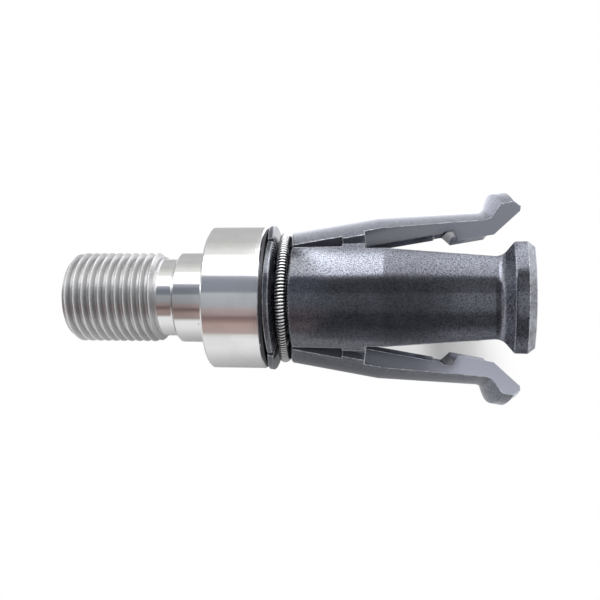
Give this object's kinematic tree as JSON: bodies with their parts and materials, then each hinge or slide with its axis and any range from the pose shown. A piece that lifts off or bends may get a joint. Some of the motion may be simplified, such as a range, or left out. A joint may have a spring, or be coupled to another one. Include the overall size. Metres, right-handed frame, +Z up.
{
  "type": "drawbar gripper collet",
  "caption": "Gripper collet for a hollow taper shank: threaded steel carrier with sprung hooked fingers that swing inwards to release the tool.",
  "frame": {"origin": "on the axis, at the rear seat face of the collar", "axes": "+X along the axis towards the hooks, +Z up, with two fingers above and two below"},
  "size_m": [0.1056, 0.0462, 0.0462],
  "materials": {
    "carrier_steel": "ground and polished bright steel",
    "buffer_black": "matt black",
    "spring_steel": "bright spring wire",
    "black_oxide": "black oxide, satin"
  },
  "bodies": {
    "carrier_unit": {"carrier": "carrier_steel", "buffer_ring": "buffer_black", "garter_spring": "spring_steel"},
    "finger_1": {"gripper_finger_1": "black_oxide"},
    "finger_2": {"gripper_finger_2": "black_oxide"},
    "finger_3": {"gripper_finger_3": "black_oxide"},
    "finger_4": {"gripper_finger_4": "black_oxide"}
  },
  "joints": [
    {"name": "finger_1_swing", "type": "hinge", "parent": "carrier_unit", "child": "finger_1", "pos_m": [0.02, 0.00792, 0.00792], "axis": [0, 0.7071, -0.7071], "range_deg": [0, 5.4], "stiffness_Nm_per_rad": 0.5, "springref_deg": -17.19},
    {"name": "finger_2_swing", "type": "hinge", "parent": "carrier_unit", "child": "finger_2", "pos_m": [0.02, -0.00792, 0.00792], "axis": [0, 0.7071, 0.7071], "range_deg": [0, 5.4], "stiffness_Nm_per_rad": 0.5, "springref_deg": -17.19},
    {"name": "finger_3_swing", "type": "hinge", "parent": "carrier_unit", "child": "finger_3", "pos_m": [0.02, -0.00792, -0.00792], "axis": [0, -0.7071, 0.7071], "range_deg": [0, 5.4], "stiffness_Nm_per_rad": 0.5, "springref_deg": -17.19},
    {"name": "finger_4_swing", "type": "hinge", "parent": "carrier_unit", "child": "finger_4", "pos_m": [0.02, 0.00792, -0.00792], "axis": [0, -0.7071, -0.7071], "range_deg": [0, 5.4], "stiffness_Nm_per_rad": 0.5, "springref_deg": -17.19}
  ]
}
